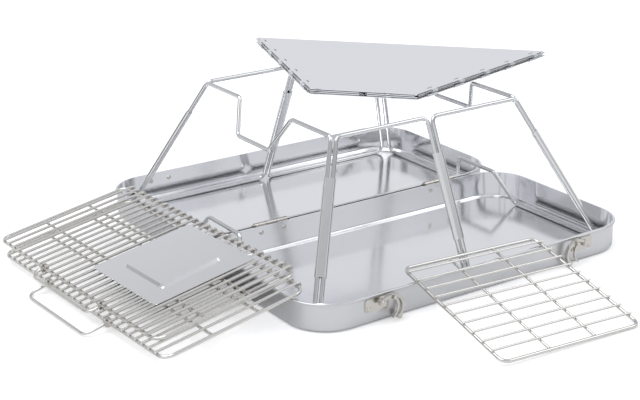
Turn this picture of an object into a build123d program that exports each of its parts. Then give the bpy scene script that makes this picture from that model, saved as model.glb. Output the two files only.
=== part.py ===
"""Portable charcoal grill: a two-tray case, a folding wire stand, a folded fire bowl and its grates.

The origin is the centre of the front tray's underside. X runs along the trays, Y runs to the back
and Z is up. All sizes are in millimetres.
"""
import os
from math import acos, atan2, cos, degrees, hypot, radians, sin, tan

from build123d import *

os.makedirs("parts", exist_ok=True)

# Case: two shallow sheet trays, hinged along one long side and opened flat
tray_length = 448.0
tray_width = 232.0
tray_height = 33.0
tray_sheet = 1.0
tray_corner_radius = 48.0
tray_floor_radius = 4.0
rim_bead = 2.0
rim_bead_height = 3.2
closed_gap = 0.5

# Case hinges: two leaves each, joined by a pin, riveted to the walls that meet
hinge_gap = 8.0
hinge_spacing = 250.0
hinge_length = 44.0
hinge_leaf_bottom = 9.0
hinge_leaf_thickness = 0.8
knuckle_radius = 3.0
hinge_pin_radius = 1.5
knuckle_gap = 0.3
rivet_spacing = 31.0
rivet_height = 25.0

# Rivets and running clearances
rivet_radius = 1.6
rivet_head_radius = 3.0
rivet_head_height = 1.2
pin_clearance = 0.05
seat_gap = 0.1

# Latches on the front wall and the catches they pull on the back wall
latch_spacing = 290.0
latch_plate_width = 30.0
latch_plate_height = 15.0
latch_plate_bottom = 14.0
latch_plate_thickness = 1.2
latch_pin_radius = 1.3
latch_eye_radius = 4.0
latch_lever_width = 4.5
latch_lever_thickness = 3.0
latch_lever_reach = 22.0
latch_lever_drop = 20.0
latch_lever_rise = 4.5
latch_tip_radius = 3.2
latch_hook_width = 2.0
latch_hook_thickness = 2.0
latch_hook_drop = 22.0
hook_pin_radius = 0.9
hook_eye_radius = 2.0
catch_width = 34.0
catch_height = 12.0
catch_bottom = 17.0
catch_lip = 3.0

# Stand: six closed wire loops whose posts stand side by side in six sheet sleeves
wire_radius = 2.5
ring_half_length = 129.0
ring_half_width = 135.5
ring_height = 172.6
foot_half_length = 204.7
foot_half_width = 211.3
post_pitch = 6.4
open_post_pitch = 10.0
loop_bend_radius = 8.0
notch_top_half = 55.0
notch_bottom_half = 33.0
notch_depth = 38.0
hump_foot_half = 58.0
hump_crest_half = 34.0
hump_height = 39.2
offset_bend_radius = 6.0
sleeve_wall = 0.9
sleeve_clearance = 0.15
sleeve_start = 0.22
sleeve_end = 0.75

# Fire bowl: four trapezoid sides, two of them split down the middle, folded into a flat stack
bowl_wide_half = 188.5
bowl_narrow_half = 63.0
bowl_slant = 229.0
bowl_sheet = 1.2
bowl_layer_pitch = 2.0
bowl_axis_angle = 42.9
bowl_narrow_x = -18.0
bowl_narrow_y = -36.0
bowl_knuckle_radius = 1.5
bowl_pin_radius = 0.7
bowl_knuckle_length = 9.0
bowl_knuckle_count = 5
bowl_fold_axis = 2.8
bowl_slot_length = 9.0
bowl_slot_width = 1.2
bowl_slot_inset = 6.0
open_pivot_gap = 3.0

# Grills: two alike, stacked, leaning from the ground over the left rim
grill_length = 172.0
grill_width = 352.0
grill_frame_radius = 2.0
grill_bar_radius = 1.6
grill_bar_count = 26
grill_bar_curl = 105.0
grill_corner_radius = 12.0
grill_left_height = 11.0
lower_grill_x = -377.0
lower_grill_y = -205.0
upper_grill_x = -370.0
upper_grill_y = -180.0
grill_yaw = 3.0
handle_wire_radius = 1.6
handle_width = 155.0
handle_reach = 28.0
upper_handle_reach = 17.0
handle_bend_radius = 10.0
handle_clearance = 0.1

# Griddle plate: a square sheet with a raised field, lying on the upper grill
griddle_length = 126.0
griddle_width = 131.0
griddle_sheet = 0.8
griddle_corner_radius = 3.0
griddle_field = 80.0
griddle_field_rise = 3.0
griddle_x = 95.0
griddle_y = 120.0

# Coal grate: leaning from the ground over the front rim
coal_grate_length = 176.0
coal_grate_depth = 179.0
coal_frame_radius = 2.0
coal_bar_radius = 1.25
coal_bar_count = 10
coal_bar_first = 17.2
coal_bar_pitch = 16.7
coal_bar_overhang = 2.0
coal_corner_radius = 9.0
coal_grate_x = -104.4
coal_grate_y = -388.4
coal_grate_yaw = -3.7

# Places that follow from the sizes above
hinge_y = tray_width / 2 + hinge_gap / 2
hinge_z = tray_height + closed_gap / 2
back_tray_y = 2 * hinge_y
front_wall_y = -tray_width / 2
back_wall_y = back_tray_y + tray_width / 2
foot_height = tray_sheet + wire_radius + seat_gap
apex_height = foot_height + (ring_height - foot_height) * foot_half_length / (foot_half_length - ring_half_length)


def unit(vector):
    """The direction of a vector, one long."""
    return Vector(*vector).normalized()


class LoopPlane:
    """The leaning plane of a stand loop, with its sideways and upward directions."""

    def __init__(self, foot, sideways, top):
        self.foot = Vector(*foot)
        self.sideways = Vector(*sideways)
        rise = Vector(*top) - self.foot
        self.slope = rise.length
        self.upward = rise.normalized()
        self.plane = Plane(
            origin=self.foot, x_dir=self.sideways, z_dir=self.sideways.cross(self.upward)
        )


def stand_plane(side):
    """The plane of the loops on one side of the stand: left, right, front or back."""
    turn = {"left": (-1, 0), "right": (1, 0), "front": (0, -1), "back": (0, 1)}[side]
    foot_reach = foot_half_length if turn[0] else foot_half_width
    ring_reach = ring_half_length if turn[0] else ring_half_width
    foot = (turn[0] * foot_reach, hinge_y + turn[1] * foot_reach, foot_height)
    top = (turn[0] * ring_reach, hinge_y + turn[1] * ring_reach, ring_height)
    sideways = (-turn[1], -turn[0], 0)
    return LoopPlane(foot, sideways, top)


def corner(x_side, y_side, height):
    """A corner of the stand's frame where the planes of two sides meet, at the foot or the ring."""
    at_foot = height == "foot"
    reach_x = foot_half_length if at_foot else ring_half_length
    reach_y = foot_half_width if at_foot else ring_half_width
    z = foot_height if at_foot else ring_height
    return Vector(x_side * reach_x, hinge_y + y_side * reach_y, z)


class Post:
    """Two wires side by side in a sleeve: each wire belongs to the loop on its side."""

    def __init__(self, foot, top, inward_a, inward_b, inset_a, inset_b):
        self.foot = foot
        self.direction = (top - foot).normalized()
        self.length = (top - foot).length
        self.inset_a = inset_a
        self.inset_b = inset_b
        self.wire_a = foot + inward_a * inset_a
        self.wire_b = foot + inward_b * inset_b
        self.middle = (self.wire_a + self.wire_b) * 0.5
        self.across = (self.wire_b - self.wire_a).normalized()


def inward(direction, sideways):
    """The part of a sideways direction that is square to a post."""
    return (sideways - direction * sideways.dot(direction)).normalized()


def corner_post(x_side, y_side, pitch=post_pitch):
    """The post at a corner: wire a is on the left or right loop, wire b on the front or back one.

    A wider pitch moves wire b alone further from the corner.
    """
    foot = corner(x_side, y_side, "foot")
    top = corner(x_side, y_side, "ring")
    direction = (top - foot).normalized()
    inward_a = inward(direction, Vector(0, -y_side, 0))
    inward_b = inward(direction, Vector(-x_side, 0, 0))
    inset = post_pitch / (inward_b - inward_a).length
    slant = inset * inward_a.dot(inward_b)
    reach = slant + (slant**2 - inset**2 + pitch**2) ** 0.5
    return Post(foot, top, inward_a, inward_b, inset, reach)


def middle_post(y_side):
    """The post in the middle of the front or back: wire a on its left loop, wire b on its right."""
    foot = Vector(0, hinge_y + y_side * foot_half_width, foot_height)
    top = Vector(0, hinge_y + y_side * ring_half_width, ring_height)
    return Post(foot, top, Vector(-1, 0, 0), Vector(1, 0, 0), post_pitch / 2, post_pitch / 2)


posts = {
    "left_back": corner_post(-1, 1),
    "left_front": corner_post(-1, -1),
    "right_front": corner_post(1, -1),
    "right_back": corner_post(1, 1, open_post_pitch),
    "middle_front": middle_post(-1),
    "middle_back": middle_post(1),
}

# The bowl's own frame: narrow edge's middle as origin, u across the panel and v towards the wide edge
bowl_z = ring_height + wire_radius + seat_gap
bowl_axis = radians(bowl_axis_angle)
bowl_plane = Plane(
    origin=(bowl_narrow_x, hinge_y + bowl_narrow_y, bowl_z),
    x_dir=(sin(bowl_axis), -cos(bowl_axis), 0),
    z_dir=(0, 0, 1),
)
bowl_edge_slope = (bowl_wide_half - bowl_narrow_half) / bowl_slant
bowl_edge_length = hypot(bowl_wide_half - bowl_narrow_half, bowl_slant)
bowl_hinge_offset = bowl_knuckle_radius + seat_gap
bowl_edge_u = bowl_slant / bowl_edge_length
bowl_edge_v = (bowl_wide_half - bowl_narrow_half) / bowl_edge_length


def layer_z(layer):
    """Underside of one sheet of the folded bowl, counted from the bottom panel."""
    return layer * bowl_layer_pitch


def fold_z(layer):
    """Height of the hinge axis between one sheet and the next one up."""
    return layer_z(layer) + (bowl_layer_pitch + bowl_sheet) / 2


# The grills share one leaning plane through the left rim, and turn a little within it
rim_top = tray_height + seat_gap
rim_left_x = -(tray_length / 2 + rim_bead)
grill_run = rim_left_x - lower_grill_x
grill_rise = rim_top + grill_frame_radius - grill_left_height
grill_tilt = atan2(grill_rise, grill_run)
grill_turn = radians(grill_yaw)
grill_stack_pitch = 2 * (grill_frame_radius + grill_bar_radius) + 2 * seat_gap


def grill_plane(x, y, level):
    """The plane of a grill's frame: its front left corner and how far it lies above the lower one."""
    along = Vector(cos(grill_tilt), 0, sin(grill_tilt))
    normal = Vector(-sin(grill_tilt), 0, cos(grill_tilt))
    seat = Vector(rim_left_x, hinge_y, rim_top + grill_frame_radius)
    origin = seat + along * ((x - rim_left_x) / cos(grill_tilt)) + Vector(0, y, 0) + normal * level
    x_dir = along * cos(grill_turn) + Vector(0, 1, 0) * sin(grill_turn)
    return Plane(origin=origin, x_dir=x_dir, z_dir=normal)


lower_grill_plane = grill_plane(lower_grill_x, lower_grill_y, 0)
upper_grill_plane = grill_plane(upper_grill_x, upper_grill_y, grill_stack_pitch)
grill_bar_pitch = grill_width / (grill_bar_count + 1)
grill_bar_z = grill_frame_radius + grill_bar_radius + seat_gap / 2

# The coal grate leans over the front rim, with its right front corner on the ground
rim_front_y = -(tray_width / 2 + rim_bead)
coal_ground_height = coal_frame_radius + seat_gap
coal_run = rim_front_y - hinge_y - coal_grate_y
coal_turn = radians(coal_grate_yaw)
coal_corner_fall = coal_grate_length * sin(-coal_turn)
coal_tilt = atan2(rim_top + coal_frame_radius - coal_ground_height, coal_run + coal_corner_fall)
coal_normal = Vector(0, -sin(coal_tilt), cos(coal_tilt))
coal_slope = Vector(0, cos(coal_tilt), sin(coal_tilt))
coal_plane = Plane(
    origin=Vector(coal_grate_x, rim_front_y, rim_top + coal_frame_radius) - coal_slope * (coal_run / cos(coal_tilt)),
    x_dir=Vector(cos(coal_turn), 0, 0) + coal_slope * sin(coal_turn),
    z_dir=coal_normal,
)


# Trays


def tray_shell(centre_y, hinge_side):
    """A sheet tray with a rounded floor edge and a rolled rim, slotted where the hinges pass."""
    with BuildPart() as shell:
        with BuildSketch():
            with Locations((0, centre_y)):
                RectangleRounded(tray_length, tray_width, tray_corner_radius)
        extrude(amount=tray_height)
        fillet(shell.faces().sort_by(Axis.Z)[0].edges(), tray_floor_radius)
        offset(amount=-tray_sheet, openings=shell.faces().sort_by(Axis.Z)[-1])
        with BuildSketch(Plane.XY.offset(tray_height - rim_bead_height)):
            with Locations((0, centre_y)):
                RectangleRounded(
                    tray_length + 2 * rim_bead, tray_width + 2 * rim_bead, tray_corner_radius + rim_bead
                )
                RectangleRounded(
                    tray_length - tray_sheet,
                    tray_width - tray_sheet,
                    tray_corner_radius - tray_sheet / 2,
                    mode=Mode.SUBTRACT,
                )
        extrude(amount=rim_bead_height)
        rim_edges = [
            edge
            for edge in shell.edges()
            if edge.bounding_box().size.Z < seat_gap
            and edge.center().Z > tray_height - rim_bead_height - seat_gap
            and is_outer_rim(edge, centre_y)
        ]
        fillet(rim_edges, rim_bead * 0.7)
        slot_y = centre_y + hinge_side * (tray_width / 2 + rim_bead)
        slot_z = tray_height - rim_bead_height / 2
        for side in (-1, 1):
            with Locations((side * hinge_spacing / 2, slot_y, slot_z)):
                Box(hinge_length + 2, 2 * rim_bead, rim_bead_height + 1, mode=Mode.SUBTRACT)
    return shell.part


def is_outer_rim(edge, centre_y):
    """Whether an edge lies on the outside of the rolled rim."""
    reach_x = tray_length / 2 + rim_bead
    reach_y = tray_width / 2 + rim_bead
    point = edge.position_at(0)
    dx = max(abs(point.X) - (reach_x - tray_corner_radius - rim_bead), 0)
    dy = max(abs(point.Y - centre_y) - (reach_y - tray_corner_radius - rim_bead), 0)
    return abs(hypot(dx, dy) - tray_corner_radius - rim_bead) < seat_gap


def wall_holes(y_low, y_high, centres, radius):
    """Cut round holes along Y through a wall, in the part that is being built."""
    for x, z in centres:
        with BuildSketch(Plane(origin=(x, y_low, z), x_dir=(1, 0, 0), z_dir=(0, 1, 0))) as hole:
            Circle(radius)
        extrude(hole.sketch, amount=y_high - y_low, mode=Mode.SUBTRACT)


def paired(spacing, inner):
    """X places of two pairs, spaced evenly about the middle of the case."""
    return [side * spacing / 2 + step * inner / 2 for side in (-1, 1) for step in (-1, 1)]


hinge_rivets = [(x, rivet_height) for x in paired(hinge_spacing, rivet_spacing)]
latch_rivet_height = latch_plate_bottom + 4.0
latch_rivet_spacing = latch_plate_width - 8.0
latch_rivets = [(x, latch_rivet_height) for x in paired(latch_spacing, latch_rivet_spacing)]
catch_rivet_height = catch_bottom + catch_height / 2
catch_rivet_spacing = catch_width - 8.0
catch_rivets = [(x, catch_rivet_height) for x in paired(latch_spacing, catch_rivet_spacing)]
rivet_hole = rivet_radius + pin_clearance

with BuildPart() as front_tray:
    add(tray_shell(0, 1))
    wall_holes(tray_width / 2 - 2 * tray_sheet, tray_width / 2 + tray_sheet, hinge_rivets, rivet_hole)
    wall_holes(front_wall_y - tray_sheet, front_wall_y + 2 * tray_sheet, latch_rivets, rivet_hole)
front_tray.part.label = "front_tray"
export_step(front_tray.part, "parts/front_tray.step")

with BuildPart() as back_tray:
    add(tray_shell(back_tray_y, -1))
    hinge_wall = back_tray_y - tray_width / 2
    wall_holes(hinge_wall - tray_sheet, hinge_wall + 2 * tray_sheet, hinge_rivets, rivet_hole)
    wall_holes(back_wall_y - 2 * tray_sheet, back_wall_y + tray_sheet, catch_rivets, rivet_hole)
back_tray.part.label = "back_tray"
export_step(back_tray.part, "parts/back_tray.step")

# Case hinges


def barrel(plane, start, length, radius):
    """A round bar along a plane's normal, from a start to its length, in the current part."""
    with BuildSketch(plane.offset(start)) as disc:
        Circle(radius)
    extrude(disc.sketch, amount=length)


def hinge_leaves(side, spans):
    """Two hinge leaves on one side of the axis: plates with their knuckles, bored for the pin."""
    plate_y = hinge_y + side * (hinge_gap / 2 - hinge_leaf_thickness / 2 - seat_gap / 2)
    with BuildPart() as leaves:
        for hinge_side in (-1, 1):
            centre_x = hinge_side * hinge_spacing / 2
            axis = Plane(origin=(centre_x, hinge_y, hinge_z), x_dir=(0, 1, 0), z_dir=(1, 0, 0))
            plate_height = hinge_z - knuckle_radius - knuckle_gap - hinge_leaf_bottom
            with Locations((centre_x, plate_y, hinge_leaf_bottom + plate_height / 2)):
                Box(hinge_length, hinge_leaf_thickness, plate_height)
            for start, end in spans:
                web_height = hinge_z - hinge_leaf_bottom - plate_height + seat_gap
                web_z = hinge_z - web_height / 2
                with Locations((centre_x + (start + end) / 2, plate_y, web_z)):
                    Box(end - start, hinge_leaf_thickness, web_height)
                barrel(axis, start, end - start, knuckle_radius)
            for start, end in spans:
                with BuildSketch(axis.offset(start - 1)):
                    Circle(hinge_pin_radius + pin_clearance)
                extrude(amount=end - start + 2, mode=Mode.SUBTRACT)
            holes = [(x, z) for x, z in hinge_rivets if x * hinge_side > 0]
            wall_holes(plate_y - 1, plate_y + 1, holes, rivet_hole)
    return leaves.part


knuckle_third = hinge_length / 3
outer_spans = [
    (-hinge_length / 2, -knuckle_third / 2 - knuckle_gap / 2),
    (knuckle_third / 2 + knuckle_gap / 2, hinge_length / 2),
]
inner_spans = [(-knuckle_third / 2 + knuckle_gap / 2, knuckle_third / 2 - knuckle_gap / 2)]

with BuildPart() as front_hinge_leaves:
    add(hinge_leaves(-1, outer_spans))
front_hinge_leaves.part.label = "front_hinge_leaves"
export_step(front_hinge_leaves.part, "parts/front_hinge_leaves.step")

with BuildPart() as back_hinge_leaves:
    add(hinge_leaves(1, inner_spans))
back_hinge_leaves.part.label = "back_hinge_leaves"
export_step(back_hinge_leaves.part, "parts/back_hinge_leaves.step")

with BuildPart() as hinge_pins:
    for side in (-1, 1):
        pin_axis = Plane(
            origin=(side * hinge_spacing / 2, hinge_y, hinge_z), x_dir=(0, 1, 0), z_dir=(1, 0, 0)
        )
        barrel(pin_axis, -hinge_length / 2 - 0.8, hinge_length + 1.6, hinge_pin_radius)
hinge_pins.part.label = "hinge_pins"
export_step(hinge_pins.part, "parts/hinge_pins.step")


def rivets(name, centres, inner_y, outer_y):
    """Domed rivets through a wall and the piece fixed on it, from an inner to an outer face."""
    away = 1 if outer_y > inner_y else -1
    with BuildPart() as group:
        for x, z in centres:
            face = Plane(origin=(x, inner_y, z), x_dir=(1, 0, 0), z_dir=(0, away, 0))
            with BuildSketch(face):
                Circle(rivet_radius)
            extrude(amount=abs(outer_y - inner_y))
            for start, direction in ((0, -1), (abs(outer_y - inner_y), 1)):
                with BuildSketch(face.offset(start + direction * seat_gap / 10)):
                    Circle(rivet_head_radius)
                extrude(amount=direction * rivet_head_height, taper=35)
    group.part.label = name
    export_step(group.part, f"parts/{name}.step")


leaf_inner = hinge_gap / 2 - hinge_leaf_thickness - seat_gap / 2
rivets("front_hinge_rivets", hinge_rivets, tray_width / 2 - tray_sheet, hinge_y - leaf_inner)
rivets("back_hinge_rivets", hinge_rivets, hinge_y + hinge_gap / 2 + tray_sheet, hinge_y + leaf_inner)

# Latches and catches

latch_face_y = front_wall_y - seat_gap / 2
latch_lever_y = front_wall_y - latch_plate_thickness - catch_lip - 2 * knuckle_gap
latch_hook_y = latch_lever_y - latch_lever_width - seat_gap
latch_outer_y = latch_hook_y - latch_hook_width
latch_pivot_x = latch_spacing / 2 - 2.0
latch_pivot_z = latch_plate_bottom + latch_plate_height - latch_eye_radius
lever_top_x = latch_pivot_x - latch_lever_reach * 0.75
lever_tip_x = latch_pivot_x - latch_lever_reach
lever_tip_z = latch_pivot_z - latch_lever_drop
hook_pivot_x = latch_pivot_x - latch_lever_reach * 0.62
hook_pivot_z = latch_pivot_z + latch_lever_rise - latch_lever_thickness / 2
hook_tip_x = hook_pivot_x + latch_lever_reach * 0.1
hook_tip_z = hook_pivot_z - latch_hook_drop


def wall_plane(y):
    """A plane facing out of the front wall, with X to the right and Z up, at a place along Y."""
    return Plane(origin=(0, y, 0), x_dir=(1, 0, 0), z_dir=(0, -1, 0))


def latch_base(name, side):
    """A plate on the front wall, bored for the lever's pin and its two rivets."""
    with BuildPart() as base:
        centre = (side * latch_spacing / 2, latch_plate_bottom + latch_plate_height / 2)
        with BuildSketch(wall_plane(latch_face_y)):
            with Locations(centre):
                RectangleRounded(latch_plate_width, latch_plate_height, 3.0)
            with Locations((side * latch_pivot_x, latch_pivot_z)):
                Circle(latch_pin_radius + pin_clearance, mode=Mode.SUBTRACT)
        extrude(amount=latch_plate_thickness)
        holes = [(x, z) for x, z in latch_rivets if x * side > 0]
        wall_holes(latch_face_y - 2 * latch_plate_thickness, latch_face_y + 1, holes, rivet_hole)
    base.part.label = name
    export_step(base.part, f"parts/{name}.step")


def latch_lever(name, side):
    """A swan-necked lever: a bored eye, a curved neck and a round tip."""
    root = (side * latch_pivot_x, latch_pivot_z)
    top = (side * lever_top_x, latch_pivot_z + latch_lever_rise)
    tip = (side * lever_tip_x, lever_tip_z)
    with BuildPart() as lever:
        with BuildSketch(wall_plane(latch_lever_y)):
            with BuildLine():
                ThreePointArc(root, top, tip)
            trace(line_width=latch_lever_thickness)
            with Locations(root):
                Circle(latch_eye_radius)
            with Locations(tip):
                Circle(latch_tip_radius)
            with Locations((side * hook_pivot_x, hook_pivot_z)):
                Circle(hook_eye_radius)
            with Locations(root):
                Circle(latch_pin_radius + pin_clearance, mode=Mode.SUBTRACT)
            with Locations((side * hook_pivot_x, hook_pivot_z)):
                Circle(hook_pin_radius + pin_clearance, mode=Mode.SUBTRACT)
        extrude(amount=latch_lever_width)
    lever.part.label = name
    export_step(lever.part, f"parts/{name}.step")


def latch_hook(name, side):
    """A crescent hook that swings on the lever's face and hangs inside its neck."""
    root = (side * hook_pivot_x, hook_pivot_z)
    belly = (side * (hook_pivot_x - latch_lever_reach * 0.2), (hook_pivot_z + hook_tip_z) / 2)
    tip = (side * hook_tip_x, hook_tip_z)
    with BuildPart() as hook:
        with BuildSketch(wall_plane(latch_hook_y)):
            with BuildLine():
                ThreePointArc(root, belly, tip)
            trace(line_width=latch_hook_thickness)
            with Locations(root):
                Circle(hook_eye_radius)
                Circle(hook_pin_radius + pin_clearance, mode=Mode.SUBTRACT)
        extrude(amount=latch_hook_width)
    hook.part.label = name
    export_step(hook.part, f"parts/{name}.step")


def headed_pins(name, centres, start_y, end_y, radius, head_radius):
    """Pins that stand out of the front wall, each with a head on its outer end, as one piece."""
    with BuildPart() as pins:
        for centre in centres:
            with BuildSketch(wall_plane(start_y)):
                with Locations(centre):
                    Circle(radius)
            extrude(amount=start_y - end_y + seat_gap)
            with BuildSketch(wall_plane(end_y - seat_gap)):
                with Locations(centre):
                    Circle(head_radius)
            extrude(amount=rivet_head_height, taper=30)
    pins.part.label = name
    export_step(pins.part, f"parts/{name}.step")


def bent_wire(plane, points, radius, bend_radii, closed):
    """A round wire along straight runs with rounded corners, drawn in a plane."""
    with BuildPart() as wire:
        with BuildLine(plane) as path:
            FilletPolyline(*points, radius=bend_radii, close=closed)
        with BuildSketch(Plane(origin=path.line @ 0, z_dir=path.line % 0)):
            Circle(radius)
        sweep(path=path.line)
    return wire.part


for side_name, side in (("left", -1), ("right", 1)):
    latch_base(f"latch_base_{side_name}", side)
    latch_lever(f"latch_lever_{side_name}", side)
    latch_hook(f"latch_hook_{side_name}", side)
    hook_pin = [(side * hook_pivot_x, hook_pivot_z)]
    hook_pin_name = f"latch_hook_pin_{side_name}"
    headed_pins(hook_pin_name, hook_pin, latch_lever_y, latch_outer_y, hook_pin_radius, hook_eye_radius)

lever_pins = [(side * latch_pivot_x, latch_pivot_z) for side in (-1, 1)]
headed_pins("latch_lever_pins", lever_pins, latch_face_y, latch_hook_y, latch_pin_radius, latch_eye_radius - 1)
rivets("latch_rivets", latch_rivets, front_wall_y + tray_sheet, latch_face_y - latch_plate_thickness)

catch_face_y = back_wall_y + seat_gap / 2
with BuildPart() as catch_plates:
    for side in (-1, 1):
        catch_x = side * latch_spacing / 2
        plate_y = catch_face_y + latch_plate_thickness / 2
        with Locations((catch_x, plate_y, catch_bottom + catch_height / 2)):
            Box(catch_width, latch_plate_thickness, catch_height)
        lip_y = catch_face_y + (latch_plate_thickness + catch_lip) / 2
        with Locations((catch_x, lip_y, catch_bottom + latch_plate_thickness / 2)):
            Box(catch_width / 2, latch_plate_thickness + catch_lip, latch_plate_thickness)
        hook_y = catch_face_y + latch_plate_thickness + catch_lip - latch_plate_thickness / 2
        with Locations((catch_x, hook_y, catch_bottom + latch_plate_thickness * 1.5)):
            Box(catch_width / 2, latch_plate_thickness, latch_plate_thickness * 3)
    wall_holes(catch_face_y - 1, catch_face_y + 2 * latch_plate_thickness, catch_rivets, rivet_hole)
catch_plates.part.label = "catch_plates"
export_step(catch_plates.part, "parts/catch_plates.step")
rivets("catch_rivets", catch_rivets, back_wall_y - tray_sheet, catch_face_y + latch_plate_thickness)

# Stand loops


def edge_reach(reach_foot, reach_ring, slope, post_inset):
    """Half-widths at the foot and the ring of a wire set in from the corner line by an inset."""
    lean = atan2(reach_foot - reach_ring, slope)
    shift = post_inset / cos(lean)
    return reach_foot - shift, reach_ring - shift


def side_loop(name, side):
    """A left or right loop: its ring wire dips in a notch, and its foot wire steps over the walls."""
    frame = stand_plane(side)
    foot, ring = edge_reach(foot_half_width, ring_half_width, frame.slope, posts["left_front"].inset_a)
    rise_share = frame.slope / (ring_height - foot_height)
    notch = frame.slope - notch_depth * rise_share
    hump = hump_height * rise_share
    points = [
        (-foot, 0),
        (-hump_foot_half, 0),
        (-hump_crest_half, hump),
        (hump_crest_half, hump),
        (hump_foot_half, 0),
        (foot, 0),
        (ring, frame.slope),
        (notch_top_half, frame.slope),
        (notch_bottom_half, notch),
        (-notch_bottom_half, notch),
        (-notch_top_half, frame.slope),
        (-ring, frame.slope),
    ]
    corners = (0, 5, 6, 11)
    radii = [loop_bend_radius if i in corners else offset_bend_radius for i in range(len(points))]
    with BuildPart() as loop:
        add(bent_wire(frame.plane, points, wire_radius, radii, True))
    loop.part.label = name
    export_step(loop.part, f"parts/{name}.step")


def half_loop(name, side, half, post):
    """One of the two loops on the front or the back, between a corner post and the middle post."""
    frame = stand_plane(side)
    foot, ring = edge_reach(foot_half_length, ring_half_length, frame.slope, posts[post].inset_b)
    middle = post_pitch / 2
    points = [
        (half * foot, 0),
        (half * middle, 0),
        (half * middle, frame.slope),
        (half * ring, frame.slope),
    ]
    with BuildPart() as loop:
        add(bent_wire(frame.plane, points, wire_radius, loop_bend_radius, True))
    loop.part.label = name
    export_step(loop.part, f"parts/{name}.step")


side_loop("stand_loop_left", "left")
side_loop("stand_loop_right", "right")
half_loop("stand_loop_front_left", "front", -1, "left_front")
half_loop("stand_loop_front_right", "front", 1, "right_front")
half_loop("stand_loop_back_right", "back", -1, "right_back")
half_loop("stand_loop_back_left", "back", 1, "left_back")

# The ring of loops is closed but for one post, where the sleeve holds wire a alone and wire b stands clear
open_post = "right_back"
for post_name, post in posts.items():
    is_open = post_name == open_post
    sleeve_bore = wire_radius + sleeve_clearance
    axis = post.wire_a if is_open else post.middle
    sleeve_foot = axis + post.direction * (post.length * (1 - sleeve_end))
    with BuildPart() as sleeve:
        with BuildSketch(Plane(origin=sleeve_foot, x_dir=post.across, z_dir=post.direction)):
            if is_open:
                Circle(sleeve_bore + sleeve_wall)
                Circle(sleeve_bore, mode=Mode.SUBTRACT)
            else:
                SlotCenterToCenter(post_pitch, 2 * (sleeve_bore + sleeve_wall))
                SlotCenterToCenter(post_pitch, 2 * sleeve_bore, mode=Mode.SUBTRACT)
        extrude(amount=post.length * (sleeve_end - sleeve_start))
    sleeve.part.label = f"sleeve_{post_name}"
    export_step(sleeve.part, f"parts/sleeve_{post_name}.step")

# Fire bowl

open_gap = {("right", 2): open_pivot_gap}


def edge_plane(side, layer):
    """The hinge axis along a slanted edge: its start at the narrow end, running to the wide end."""
    start_u = side * (bowl_narrow_half + bowl_hinge_offset * bowl_edge_u)
    start_v = -bowl_hinge_offset * bowl_edge_v
    origin = bowl_plane.from_local_coords((start_u, start_v, fold_z(layer)))
    direction = bowl_plane.from_local_coords((start_u + side * bowl_edge_v, start_v + bowl_edge_u, fold_z(layer)))
    return Plane(origin=origin, x_dir=(0, 0, 1), z_dir=direction - origin)


def fold_plane(side):
    """The hinge axis down the middle of a split side, between its two halves."""
    origin = bowl_plane.from_local_coords((side * bowl_fold_axis, 0, fold_z(1)))
    direction = bowl_plane.from_local_coords((side * bowl_fold_axis, 1, fold_z(1)))
    return Plane(origin=origin, x_dir=(0, 0, 1), z_dir=direction - origin)


def knuckle_starts(length, turn):
    """Where a panel's knuckles start along a hinge: each turn takes its own place in every pair."""
    station = length / bowl_knuckle_count
    pair = 2 * bowl_knuckle_length + knuckle_gap
    first = (station - pair) / 2 + turn * (bowl_knuckle_length + knuckle_gap)
    return [first + station * i for i in range(bowl_knuckle_count)]


def add_knuckles(axis, length, turn, tab_side, tab_z):
    """Add a panel's knuckles and tabs along a hinge axis to the part being built."""
    for start in knuckle_starts(length, turn):
        barrel(axis, start, bowl_knuckle_length, bowl_knuckle_radius)
        tab_reach = bowl_hinge_offset + bowl_knuckle_radius
        with BuildSketch(axis.offset(start)) as tab:
            with Locations((tab_z, tab_side * tab_reach / 2)):
                Rectangle(bowl_sheet, tab_reach)
        extrude(tab.sketch, amount=bowl_knuckle_length)


def bore_hinge(axis, length):
    """Bore the knuckles along a hinge axis for its pin."""
    with BuildSketch(axis.offset(-1)) as bore:
        Circle(bowl_pin_radius + pin_clearance)
    extrude(bore.sketch, amount=length + 2, mode=Mode.SUBTRACT)


def tab_direction(axis, target):
    """Which way along the axis plane's second direction a panel lies."""
    return 1 if axis.y_dir.dot(target) > 0 else -1


def full_panel(name, layer, fold_layer, turn):
    """A whole side of the bowl, with knuckles on both slanted edges and slots beside them."""
    base = bowl_plane.offset(layer_z(layer))
    with BuildPart() as panel:
        with BuildSketch(base):
            with BuildLine():
                Polyline(
                    (-bowl_narrow_half, 0),
                    (bowl_narrow_half, 0),
                    (bowl_wide_half, bowl_slant),
                    (-bowl_wide_half, bowl_slant),
                    close=True,
                )
            make_face()
            for side in (-1, 1):
                for start in knuckle_starts(bowl_edge_length, turn):
                    along = start + bowl_knuckle_length / 2
                    slot_u = side * (bowl_narrow_half + along * bowl_edge_v - bowl_slot_inset * bowl_edge_u)
                    slot_v = along * bowl_edge_u + bowl_slot_inset * bowl_edge_v
                    lean = degrees(atan2(bowl_edge_u, side * bowl_edge_v))
                    with Locations(Location((slot_u, slot_v), lean)):
                        SlotOverall(bowl_slot_length, bowl_slot_width, mode=Mode.SUBTRACT)
        extrude(amount=bowl_sheet)
        for side in (-1, 1):
            axis = edge_plane(side, fold_layer)
            inner = bowl_plane.from_local_coords((0, bowl_slant / 2, 0)) - axis.origin
            tab_z = layer_z(layer) + bowl_sheet / 2 - fold_z(fold_layer)
            add_knuckles(axis, bowl_edge_length, turn, tab_direction(axis, inner), tab_z)
        for side in (-1, 1):
            bore_hinge(edge_plane(side, fold_layer), bowl_edge_length)
    panel.part.label = name
    export_step(panel.part, f"parts/{name}.step")


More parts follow.
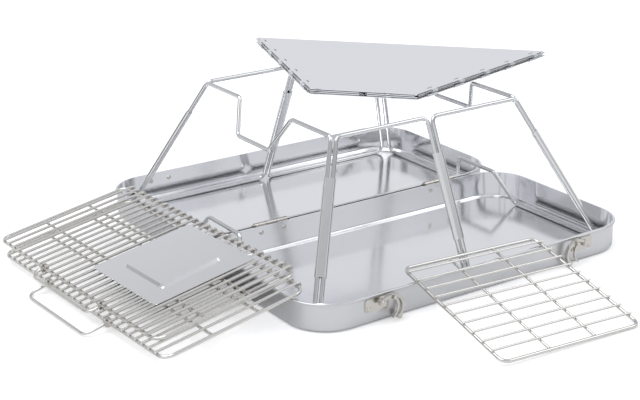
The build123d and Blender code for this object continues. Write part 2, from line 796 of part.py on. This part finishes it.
def half_panel(name, side_name, layer, edge_layer, edge_turn, fold_turn):
    """Half of a split side, folded flat: knuckles on its slanted edge and on its middle edge."""
    side = {"left": -1, "right": 1}[side_name]
    gap = open_gap.get((side_name, layer), 0)
    base = bowl_plane.offset(layer_z(layer))
    middle_u = bowl_fold_axis + bowl_hinge_offset
    edge_shift = gap / bowl_edge_u
    with BuildPart() as panel:
        with BuildSketch(base):
            with BuildLine():
                Polyline(
                    (side * middle_u, 0),
                    (side * (bowl_narrow_half - edge_shift), 0),
                    (side * (bowl_wide_half - edge_shift), bowl_slant),
                    (side * middle_u, bowl_slant),
                    close=True,
                )
            make_face()
        extrude(amount=bowl_sheet)
        if not gap:
            axis = edge_plane(side, edge_layer)
            inner = bowl_plane.from_local_coords((0, bowl_slant / 2, 0)) - axis.origin
            tab_z = layer_z(layer) + bowl_sheet / 2 - fold_z(edge_layer)
            add_knuckles(axis, bowl_edge_length, edge_turn, tab_direction(axis, inner), tab_z)
            bore_hinge(axis, bowl_edge_length)
        fold = fold_plane(side)
        outer = bowl_plane.from_local_coords((side * bowl_wide_half, 0, 0)) - fold.origin
        tab_z = layer_z(layer) + bowl_sheet / 2 - fold_z(1)
        add_knuckles(fold, bowl_slant, fold_turn, tab_direction(fold, outer), tab_z)
        bore_hinge(fold, bowl_slant)
    panel.part.label = name
    export_step(panel.part, f"parts/{name}.step")


full_panel("bowl_panel_bottom", 0, 0, 0)
full_panel("bowl_panel_top", 3, 2, 1)
for side_name in ("left", "right"):
    half_panel(f"bowl_{side_name}_lower_half", side_name, 1, 0, 1, 0)
    half_panel(f"bowl_{side_name}_upper_half", side_name, 2, 2, 0, 1)


def hinge_wire(name, axes, length):
    """Long hinge pins of the bowl along the given axes, written as one piece."""
    with BuildPart() as pins:
        for axis in axes:
            barrel(axis, 1, length - 2, bowl_pin_radius)
    pins.part.label = name
    export_step(pins.part, f"parts/{name}.step")


hinge_wire("bowl_lower_edge_pins", [edge_plane(-1, 0), edge_plane(1, 0)], bowl_edge_length)
hinge_wire("bowl_upper_edge_pins", [edge_plane(-1, 2), edge_plane(1, 2)], bowl_edge_length)
hinge_wire("bowl_left_fold_pin", [fold_plane(-1)], bowl_slant)
hinge_wire("bowl_right_fold_pin", [fold_plane(1)], bowl_slant)

# Grills


def local_plane(plane, x, y, z, x_dir, z_dir):
    """A plane placed and turned in the local coordinates of another one."""
    origin = plane.from_local_coords((x, y, z))
    x_axis = plane.from_local_coords((x + x_dir[0], y + x_dir[1], z + x_dir[2])) - origin
    z_axis = plane.from_local_coords((x + z_dir[0], y + z_dir[1], z + z_dir[2])) - origin
    return Plane(origin=origin, x_dir=x_axis, z_dir=z_axis)


def wire_frame(name, plane, length, width, radius, bend_radius):
    """A closed rectangular wire frame with rounded corners, from a corner of its plane."""
    points = [(0, 0), (length, 0), (length, width), (0, width)]
    with BuildPart() as frame:
        add(bent_wire(plane, points, radius, bend_radius, True))
    frame.part.label = name
    export_step(frame.part, f"parts/{name}.step")


def grill_bars(name, plane):
    """Parallel bars on a grill's frame, each curled round the frame's right end."""
    curl_radius = grill_bar_z
    with BuildPart() as bars:
        for i in range(grill_bar_count):
            y = (i + 1) * grill_bar_pitch
            side = local_plane(plane, 0, y, 0, (1, 0, 0), (0, -1, 0))
            with BuildLine(side) as path:
                straight = Line((-grill_frame_radius, grill_bar_z), (grill_length, grill_bar_z))
                CenterArc((grill_length, 0), curl_radius, 90, -grill_bar_curl)
            with BuildSketch(Plane(origin=straight @ 0, z_dir=straight % 0)):
                Circle(grill_bar_radius)
            sweep(path=path.line)
    bars.part.label = name
    export_step(bars.part, f"parts/{name}.step")


def cross_wires(name, plane, length, width, radius, frame_radius, along_x):
    """Two stiffening wires between opposite sides of a frame, a third of the way in from each end."""
    span = length if along_x else width
    across = width if along_x else length
    margin = frame_radius + seat_gap / 2
    with BuildPart() as wires:
        for share in (1 / 3, 2 / 3):
            if along_x:
                start = local_plane(plane, margin, across * share, 0, (0, 1, 0), (1, 0, 0))
            else:
                start = local_plane(plane, across * share, margin, 0, (1, 0, 0), (0, 1, 0))
            barrel(start, 0, span - 2 * margin, radius)
    wires.part.label = name
    export_step(wires.part, f"parts/{name}.step")


handle_eye = grill_frame_radius + handle_clearance + handle_wire_radius


def handle_drop(reach, plane, floor_height):
    """The angle below a grill's plane at which a handle of a given reach touches a height."""
    start = plane.from_local_coords((0, grill_width / 2, 0))
    fall = start.Z - floor_height
    return -(grill_tilt) + atan2(fall, (reach**2 - fall**2) ** 0.5) if reach > fall else radians(90)


def grill_handle(name, plane, reach, drop):
    """A wire handle that swings on the left end of a grill's frame in two eyes."""
    first_gap = round((grill_width - handle_width) / 2 / grill_bar_pitch) + 0.5
    low_y = first_gap * grill_bar_pitch
    high_y = grill_width - low_y
    leg_plane = local_plane(plane, 0, 0, 0, (-cos(drop), 0, -sin(drop)), (-sin(drop), 0, cos(drop)))
    points = [(handle_eye, -low_y), (reach, -low_y), (reach, -high_y), (handle_eye, -high_y)]
    with BuildPart() as handle:
        add(bent_wire(leg_plane, points, handle_wire_radius, handle_bend_radius, False))
        for y in (low_y, high_y):
            eye_half = handle_wire_radius + seat_gap
            eye = local_plane(plane, 0, y - eye_half, 0, (1, 0, 0), (0, 1, 0))
            with BuildSketch(eye):
                Circle(handle_eye + handle_wire_radius)
                Circle(grill_frame_radius + handle_clearance, mode=Mode.SUBTRACT)
            extrude(amount=2 * eye_half)
    handle.part.label = name
    export_step(handle.part, f"parts/{name}.step")


handle_lean = handle_width / 2 * sin(grill_turn) * sin(grill_tilt)
lower_drop = handle_drop(handle_reach, lower_grill_plane, handle_wire_radius + seat_gap + handle_lean)
for grill_name, plane, reach, drop in (
    ("lower_grill", lower_grill_plane, handle_reach, lower_drop),
    ("upper_grill", upper_grill_plane, upper_handle_reach, radians(8)),
):
    wire_frame(f"{grill_name}_frame", plane, grill_length, grill_width, grill_frame_radius, grill_corner_radius)
    grill_bars(f"{grill_name}_bars", plane)
    cross_wires(
        f"{grill_name}_cross_wires",
        plane,
        grill_length,
        grill_width,
        grill_bar_radius,
        grill_frame_radius,
        False,
    )
    grill_handle(f"{grill_name}_handle", plane, reach, drop)

# Griddle plate

griddle_z = grill_bar_z + grill_bar_radius + seat_gap
griddle_base = local_plane(upper_grill_plane, griddle_x, griddle_y, griddle_z, (1, 0, 0), (0, 0, 1))
with BuildPart() as griddle_plate:
    with BuildSketch(griddle_base):
        RectangleRounded(griddle_length, griddle_width, griddle_corner_radius)
    extrude(amount=griddle_sheet)
    with BuildSketch(griddle_base):
        RectangleRounded(griddle_field, griddle_field, griddle_corner_radius * 2)
    extrude(amount=griddle_sheet + griddle_field_rise, taper=40)
    with BuildSketch(griddle_base):
        RectangleRounded(
            griddle_field - 2 * griddle_sheet, griddle_field - 2 * griddle_sheet, griddle_corner_radius * 2
        )
    extrude(amount=griddle_field_rise, taper=40, mode=Mode.SUBTRACT)
griddle_plate.part.label = "griddle_plate"
export_step(griddle_plate.part, "parts/griddle_plate.step")

# Coal grate

wire_frame(
    "coal_grate_frame", coal_plane, coal_grate_length, coal_grate_depth, coal_frame_radius, coal_corner_radius
)
cross_wires(
    "coal_grate_long_wires",
    coal_plane,
    coal_grate_length,
    coal_grate_depth,
    coal_bar_radius * 1.2,
    coal_frame_radius,
    False,
)
coal_bar_z = coal_frame_radius + coal_bar_radius + seat_gap / 2
with BuildPart() as coal_grate_bars:
    for i in range(coal_bar_count):
        bar_y = coal_bar_first + i * coal_bar_pitch
        start = local_plane(coal_plane, -coal_bar_overhang, bar_y, coal_bar_z, (0, 1, 0), (1, 0, 0))
        barrel(start, 0, coal_grate_length + 2 * coal_bar_overhang, coal_bar_radius)
coal_grate_bars.part.label = "coal_grate_bars"
export_step(coal_grate_bars.part, "parts/coal_grate_bars.step")
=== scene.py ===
"""The looks of a portable charcoal grill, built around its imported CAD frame.

Polished trays, mirror-bright bowl panels, bright wires and nickel latches stand on a white floor
under soft studio light. Every length is in metres, in the row frame.
"""

import logging
import math
from dataclasses import dataclass
from enum import Enum

import bpy
from mathutils import Euler, Matrix, Vector


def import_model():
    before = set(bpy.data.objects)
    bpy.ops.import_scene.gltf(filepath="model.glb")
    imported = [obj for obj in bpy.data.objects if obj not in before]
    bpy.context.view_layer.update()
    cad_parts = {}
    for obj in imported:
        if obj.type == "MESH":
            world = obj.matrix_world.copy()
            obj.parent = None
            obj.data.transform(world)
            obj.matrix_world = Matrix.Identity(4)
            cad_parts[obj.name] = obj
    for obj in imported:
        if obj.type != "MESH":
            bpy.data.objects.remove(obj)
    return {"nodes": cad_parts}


LOG = logging.getLogger("grill")
PATCH_SCALE = 14.0
LINE_BUMP = 0.0002
WAVE_BUMP = 0.002
LEAST_ROUGHNESS = 0.02
Triple = tuple[float, float, float]


class Grain(Enum):
    """Which way the fine lines in a metal run, as noise scales along X, Y and Z per metre."""

    NONE = (90.0, 90.0, 90.0)
    ALONG_X = (6.0, 900.0, 900.0)
    ALONG_Z = (900.0, 900.0, 6.0)


@dataclass(frozen=True)
class Metal:
    """A metal finish: its colour, how blurred its reflections are, and its fine lines.

    Args:
        name: The material's name.
        colour: Base colour, linear red, green and blue.
        roughness: Roughness at the middle of its range.
        spread: How far the roughness varies either way.
        grain: Which way the fine lines run.
        depth: Strength of the fine lines' bump.
        smear: How much the slow waviness of the sheet bends reflections.
        shade: How dark the darker patches are, from 0 to 1.
        middle: The Y of a tray's middle, where its outer walls have a duller finish than its inside.
        outer_tone: Tone of the outer walls against the inside.
        outer_roughness: Roughness of the outer walls.
    """

    name: str
    colour: Triple
    roughness: float
    spread: float = 0.05
    grain: Grain = Grain.NONE
    depth: float = 0.05
    smear: float = 0.0
    shade: float = 0.08
    middle: float = 0.0
    outer_tone: float = 1.0
    outer_roughness: float = 0.0

    def outer(self, material: bpy.types.Material) -> None:
        """Dull the faces that look away from the tray's middle.

        Args:
            material: The finished inside material.
        """
        nodes = material.node_tree.nodes
        links = material.node_tree.links
        shader = nodes["Principled BSDF"]
        place = nodes.new("ShaderNodeTexCoord")
        away = nodes.new("ShaderNodeVectorMath")
        away.operation = "SUBTRACT"
        away.inputs[1].default_value = (0.0, self.middle, 0.0)
        links.new(place.outputs["Object"], away.inputs[0])
        level = nodes.new("ShaderNodeVectorMath")
        level.operation = "MULTIPLY"
        level.inputs[1].default_value = (1.0, 1.0, 0.0)
        links.new(away.outputs["Vector"], level.inputs[0])
        facing = nodes.new("ShaderNodeVectorMath")
        facing.operation = "DOT_PRODUCT"
        links.new(level.outputs["Vector"], facing.inputs[0])
        links.new(place.outputs["Normal"], facing.inputs[1])
        share = nodes.new("ShaderNodeMapRange")
        share.inputs["From Min"].default_value = 0.01
        share.inputs["From Max"].default_value = 0.05
        links.new(facing.outputs["Value"], share.inputs["Value"])
        dull = nodes.new("ShaderNodeMix")
        dull.data_type = "RGBA"
        links.new(share.outputs["Result"], dull.inputs["Factor"])
        links.new(shader.inputs["Base Color"].links[0].from_socket, dull.inputs["A"])
        dull.inputs["B"].default_value = (*(c * self.outer_tone for c in self.colour), 1.0)
        links.new(dull.outputs["Result"], shader.inputs["Base Color"])
        rougher = nodes.new("ShaderNodeMapRange")
        links.new(share.outputs["Result"], rougher.inputs["Value"])
        links.new(shader.inputs["Roughness"].links[0].from_socket, rougher.inputs["To Min"])
        rougher.inputs["To Max"].default_value = self.outer_roughness
        links.new(rougher.outputs["Result"], shader.inputs["Roughness"])

    def build(self) -> bpy.types.Material:
        """Make the material.

        Returns:
            The new material, with its pattern on Object coordinates.
        """
        material = bpy.data.materials.new(self.name)
        material.use_nodes = True
        nodes = material.node_tree.nodes
        links = material.node_tree.links
        shader = nodes["Principled BSDF"]
        shader.inputs["Metallic"].default_value = 1.0
        place = nodes.new("ShaderNodeTexCoord")
        stretch = nodes.new("ShaderNodeMapping")
        stretch.inputs["Scale"].default_value = self.grain.value
        links.new(place.outputs["Object"], stretch.inputs["Vector"])
        lines = nodes.new("ShaderNodeTexNoise")
        lines.inputs["Scale"].default_value = 1.0
        lines.inputs["Detail"].default_value = 4.0
        links.new(stretch.outputs["Vector"], lines.inputs["Vector"])
        rough = nodes.new("ShaderNodeMapRange")
        rough.inputs["To Min"].default_value = max(self.roughness - self.spread, LEAST_ROUGHNESS)
        rough.inputs["To Max"].default_value = self.roughness + self.spread
        links.new(lines.outputs["Fac"], rough.inputs["Value"])
        links.new(rough.outputs["Result"], shader.inputs["Roughness"])
        patches = nodes.new("ShaderNodeTexNoise")
        patches.inputs["Scale"].default_value = PATCH_SCALE
        patches.inputs["Detail"].default_value = 2.0
        links.new(place.outputs["Object"], patches.inputs["Vector"])
        tone = nodes.new("ShaderNodeMix")
        tone.data_type = "RGBA"
        tone.inputs["A"].default_value = (*self.colour, 1.0)
        tone.inputs["B"].default_value = (*(c * (1.0 - self.shade) for c in self.colour), 1.0)
        links.new(patches.outputs["Fac"], tone.inputs["Factor"])
        links.new(tone.outputs["Result"], shader.inputs["Base Color"])
        fine = nodes.new("ShaderNodeBump")
        fine.inputs["Strength"].default_value = self.depth
        fine.inputs["Distance"].default_value = LINE_BUMP
        links.new(lines.outputs["Fac"], fine.inputs["Height"])
        if self.smear:
            wave = nodes.new("ShaderNodeBump")
            wave.inputs["Strength"].default_value = self.smear
            wave.inputs["Distance"].default_value = WAVE_BUMP
            links.new(patches.outputs["Fac"], wave.inputs["Height"])
            links.new(wave.outputs["Normal"], fine.inputs["Normal"])
        links.new(fine.outputs["Normal"], shader.inputs["Normal"])
        if self.outer_roughness:
            self.outer(material)
        return material


FRONT_STEEL = Metal(
    "front_steel", (0.86, 0.865, 0.88), 0.13, 0.03, Grain.ALONG_X, 0.015, 0.02, 0.03, 0.0, 0.76, 0.30
)
BACK_STEEL = Metal(
    "back_steel", (0.86, 0.865, 0.88), 0.13, 0.03, Grain.ALONG_X, 0.015, 0.02, 0.03, 0.24, 0.76, 0.30
)
WIRE_STEEL = Metal("wire_steel", (0.76, 0.765, 0.77), 0.12, 0.03, Grain.NONE, 0.02)
GRILL_WIRE = Metal("grill_wire", (0.78, 0.765, 0.735), 0.15, 0.04, Grain.NONE, 0.05)
SLEEVE_STEEL = Metal("sleeve_steel", (0.84, 0.84, 0.84), 0.20, 0.04, Grain.ALONG_Z, 0.04)
BOWL_STEEL = Metal("bowl_steel", (0.785, 0.795, 0.825), 0.12, 0.02, Grain.NONE, 0.01, 0.01, 0.03)
PLATE_STEEL = Metal("plate_steel", (0.90, 0.90, 0.91), 0.15, 0.03, Grain.NONE, 0.01, 0.02, 0.03)
NICKEL = Metal("nickel", (0.68, 0.655, 0.61), 0.24, 0.06, Grain.NONE, 0.08, shade=0.15)
PIN_STEEL = Metal("pin_steel", (0.60, 0.60, 0.60), 0.22, 0.04, Grain.NONE, 0.03)


def deselect() -> None:
    """Deselect every object."""
    bpy.ops.object.select_all(action="DESELECT")


def dress(piece: bpy.types.Object, finish: bpy.types.Material) -> None:
    """Give a piece one finish all over.

    Args:
        piece: The piece to dress.
        finish: Its material.
    """
    piece.data.materials.clear()
    piece.data.materials.append(finish)


@dataclass
class Case:
    """The two hinged trays with their hinges, rivets and catches."""

    trays: tuple[str, ...] = ("front_tray", "back_tray")
    nickel: tuple[str, ...] = (
        "front_hinge_leaves",
        "back_hinge_leaves",
        "front_hinge_rivets",
        "back_hinge_rivets",
        "hinge_pins",
        "latch_rivets",
        "catch_plates",
        "catch_rivets",
    )

    def build(self) -> None:
        """Dress the case."""
        fittings = NICKEL.build()
        for node, steel in zip(self.trays, (FRONT_STEEL, BACK_STEEL)):
            dress(FRAME["nodes"][node], steel.build())
            LOG.info("dressed %s", node)
        for node in self.nickel:
            dress(FRAME["nodes"][node], fittings)
            LOG.info("dressed %s", node)


@dataclass
class Latches:
    """The two swan-necked latches on the front wall."""

    sides: tuple[str, ...] = ("left", "right")

    def build(self) -> None:
        """Dress the latches."""
        nickel = NICKEL.build()
        dress(FRAME["nodes"]["latch_lever_pins"], nickel)
        for side in self.sides:
            for part in ("latch_base", "latch_lever", "latch_hook", "latch_hook_pin"):
                dress(FRAME["nodes"][f"{part}_{side}"], nickel)
            LOG.info("dressed the %s latch", side)


@dataclass
class Stand:
    """The folding wire stand with its six loops and six sleeves."""

    loops: tuple[str, ...] = ("left", "right", "front_left", "front_right", "back_left", "back_right")
    posts: tuple[str, ...] = (
        "left_front",
        "left_back",
        "middle_front",
        "middle_back",
        "right_front",
        "right_back",
    )

    def build(self) -> None:
        """Dress the loops and sleeves."""
        wire = WIRE_STEEL.build()
        sheet = SLEEVE_STEEL.build()
        for loop in self.loops:
            dress(FRAME["nodes"][f"stand_loop_{loop}"], wire)
        for post in self.posts:
            dress(FRAME["nodes"][f"sleeve_{post}"], sheet)
        LOG.info("dressed the stand")


@dataclass
class Bowl:
    """The fire bowl, folded flat: panels, half panels and hinge pins."""

    panels: tuple[str, ...] = (
        "bowl_panel_bottom",
        "bowl_panel_top",
        "bowl_left_lower_half",
        "bowl_left_upper_half",
        "bowl_right_lower_half",
        "bowl_right_upper_half",
    )
    pins: tuple[str, ...] = (
        "bowl_lower_edge_pins",
        "bowl_upper_edge_pins",
        "bowl_left_fold_pin",
        "bowl_right_fold_pin",
    )

    def build(self) -> None:
        """Dress the panels and pins."""
        sheet = BOWL_STEEL.build()
        steel = PIN_STEEL.build()
        for node in self.panels:
            dress(FRAME["nodes"][node], sheet)
        for node in self.pins:
            dress(FRAME["nodes"][node], steel)
        LOG.info("dressed the bowl")


@dataclass
class Grates:
    """The two grills with their handles, the griddle plate and the coal grate."""

    wires: tuple[str, ...] = (
        "lower_grill_frame",
        "lower_grill_bars",
        "lower_grill_cross_wires",
        "lower_grill_handle",
        "upper_grill_frame",
        "upper_grill_bars",
        "upper_grill_cross_wires",
        "upper_grill_handle",
        "coal_grate_frame",
        "coal_grate_long_wires",
        "coal_grate_bars",
    )

    def build(self) -> None:
        """Dress the wires and the plate."""
        wire = GRILL_WIRE.build()
        for node in self.wires:
            dress(FRAME["nodes"][node], wire)
        dress(FRAME["nodes"]["griddle_plate"], PLATE_STEEL.build())
        LOG.info("dressed the grates")


@dataclass
class Studio:
    """The floor, lamps, world and camera."""

    camera_place: Triple = (-0.9466, -1.1963, 0.6295)
    camera_yaw: float = -34.119
    camera_down: float = 20.158
    camera_roll: float = -0.42
    camera_lens: float = 80.0
    camera_sensor: float = 36.0
    floor_size: float = 14.0
    floor_drop: float = 0.0003
    floor_glow: float = 0.35
    lamps: tuple[tuple[str, Triple, float, float], ...] = (
        ("key", (-1.2, 0.4, 3.0), 2.4, 40.0),
        ("fill", (2.0, -1.2, 2.2), 2.0, 14.0),
    )
    sky: tuple[tuple[float, Triple], ...] = (
        (0.0, (0.74, 0.75, 0.77)),
        (0.30, (0.86, 0.87, 0.90)),
        (0.45, (0.72, 0.73, 0.76)),
        (0.62, (0.45, 0.46, 0.48)),
        (1.0, (0.85, 0.86, 0.90)),
    )
    dark_side: Triple = (0.828, -0.561, 0.0)
    dark_edge: tuple[float, float] = (0.88, 0.97)
    dark_level: float = 0.12
    target: Triple = (0.0, 0.12, 0.05)

    def build(self) -> None:
        """Set the studio up."""
        self.floor()
        self.world()
        for name, place, size, power in self.lamps:
            self.lamp(name, place, size, power)
        self.camera()
        bpy.context.scene.view_settings.view_transform = "Standard"
        LOG.info("built the studio")

    def floor(self) -> None:
        """Add the white floor."""
        deselect()
        bpy.ops.mesh.primitive_plane_add(size=self.floor_size, location=(0, 0, -self.floor_drop))
        floor = bpy.context.active_object
        floor.name = "floor"
        material = bpy.data.materials.new("white_floor")
        material.use_nodes = True
        nodes = material.node_tree.nodes
        links = material.node_tree.links
        shader = nodes["Principled BSDF"]
        shader.inputs["Base Color"].default_value = (0.9, 0.9, 0.9, 1.0)
        shader.inputs["Roughness"].default_value = 0.9
        glow = nodes.new("ShaderNodeEmission")
        glow.inputs["Color"].default_value = (1.0, 1.0, 1.0, 1.0)
        seen = nodes.new("ShaderNodeLightPath")
        either = nodes.new("ShaderNodeMath")
        either.operation = "MAXIMUM"
        links.new(seen.outputs["Is Camera Ray"], either.inputs[0])
        links.new(seen.outputs["Is Transmission Ray"], either.inputs[1])
        share = nodes.new("ShaderNodeMath")
        share.operation = "MULTIPLY"
        share.inputs[1].default_value = self.floor_glow
        links.new(either.outputs[0], share.inputs[0])
        add = nodes.new("ShaderNodeAddShader")
        links.new(share.outputs[0], glow.inputs["Strength"])
        links.new(shader.outputs["BSDF"], add.inputs[0])
        links.new(glow.outputs["Emission"], add.inputs[1])
        links.new(add.outputs["Shader"], nodes["Material Output"].inputs["Surface"])
        dress(floor, material)

    def world(self) -> None:
        """Give the world white for the camera and a grey studio for light and reflections."""
        world = bpy.data.worlds.new("studio")
        bpy.context.scene.world = world
        world.use_nodes = True
        nodes = world.node_tree.nodes
        links = world.node_tree.links
        back = nodes["Background"]
        way = nodes.new("ShaderNodeTexCoord")
        height = nodes.new("ShaderNodeSeparateXYZ")
        links.new(way.outputs["Generated"], height.inputs["Vector"])
        ramp = nodes.new("ShaderNodeValToRGB")
        bands = ramp.color_ramp.elements
        bands[0].position, bands[0].color = self.sky[0][0], (*self.sky[0][1], 1.0)
        bands[1].position, bands[1].color = self.sky[-1][0], (*self.sky[-1][1], 1.0)
        for position, colour in self.sky[1:-1]:
            bands.new(position).color = (*colour, 1.0)
        links.new(height.outputs["Z"], ramp.inputs["Fac"])
        aside = nodes.new("ShaderNodeVectorMath")
        aside.operation = "DOT_PRODUCT"
        aside.inputs[1].default_value = self.dark_side
        links.new(way.outputs["Generated"], aside.inputs[0])
        reach = nodes.new("ShaderNodeMath")
        reach.operation = "ABSOLUTE"
        links.new(aside.outputs["Value"], reach.inputs[0])
        dim = nodes.new("ShaderNodeMapRange")
        dim.inputs["From Min"].default_value = self.dark_edge[0]
        dim.inputs["From Max"].default_value = self.dark_edge[1]
        dim.inputs["To Min"].default_value = 1.0
        dim.inputs["To Max"].default_value = self.dark_level
        links.new(reach.outputs["Value"], dim.inputs["Value"])
        links.new(ramp.outputs["Color"], back.inputs["Color"])
        links.new(dim.outputs["Result"], back.inputs["Strength"])
        white = nodes.new("ShaderNodeBackground")
        white.inputs["Color"].default_value = (1.0, 1.0, 1.0, 1.0)
        seen = nodes.new("ShaderNodeLightPath")
        mix = nodes.new("ShaderNodeMixShader")
        links.new(seen.outputs["Is Camera Ray"], mix.inputs["Fac"])
        links.new(back.outputs["Background"], mix.inputs[1])
        links.new(white.outputs["Background"], mix.inputs[2])
        links.new(mix.outputs["Shader"], nodes["World Output"].inputs["Surface"])

    def lamp(self, name: str, place: Triple, size: float, power: float) -> None:
        """Add a square soft lamp that looks at the grill.

        Args:
            name: The lamp's name.
            place: Where it hangs.
            size: Its side.
            power: Its power in watts.
        """
        away = Vector(self.target) - Vector(place)
        bpy.ops.object.light_add(type="AREA", location=place)
        lamp = bpy.context.active_object
        lamp.name = name
        lamp.rotation_euler = away.to_track_quat("-Z", "Y").to_euler()
        lamp.data.shape = "SQUARE"
        lamp.data.size = size
        lamp.data.energy = power

    def camera(self) -> None:
        """Place the photograph's camera."""
        turn = Euler((math.radians(90.0 - self.camera_down), 0.0, math.radians(self.camera_yaw))).to_matrix()
        roll = Matrix.Rotation(math.radians(self.camera_roll), 3, "Z")
        bpy.ops.object.camera_add(location=self.camera_place)
        camera = bpy.context.active_object
        camera.name = "photo_camera"
        camera.rotation_euler = (turn @ roll).to_euler()
        camera.data.lens = self.camera_lens
        camera.data.sensor_width = self.camera_sensor
        camera.data.clip_end = 50.0
        bpy.context.scene.camera = camera


def main() -> None:
    """Build the looks in order."""
    logging.basicConfig(level=logging.INFO, format="%(message)s")
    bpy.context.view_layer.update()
    for group in (Case(), Latches(), Stand(), Bowl(), Grates(), Studio()):
        group.build()


if __name__ == "__main__":
    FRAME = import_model()
    main()
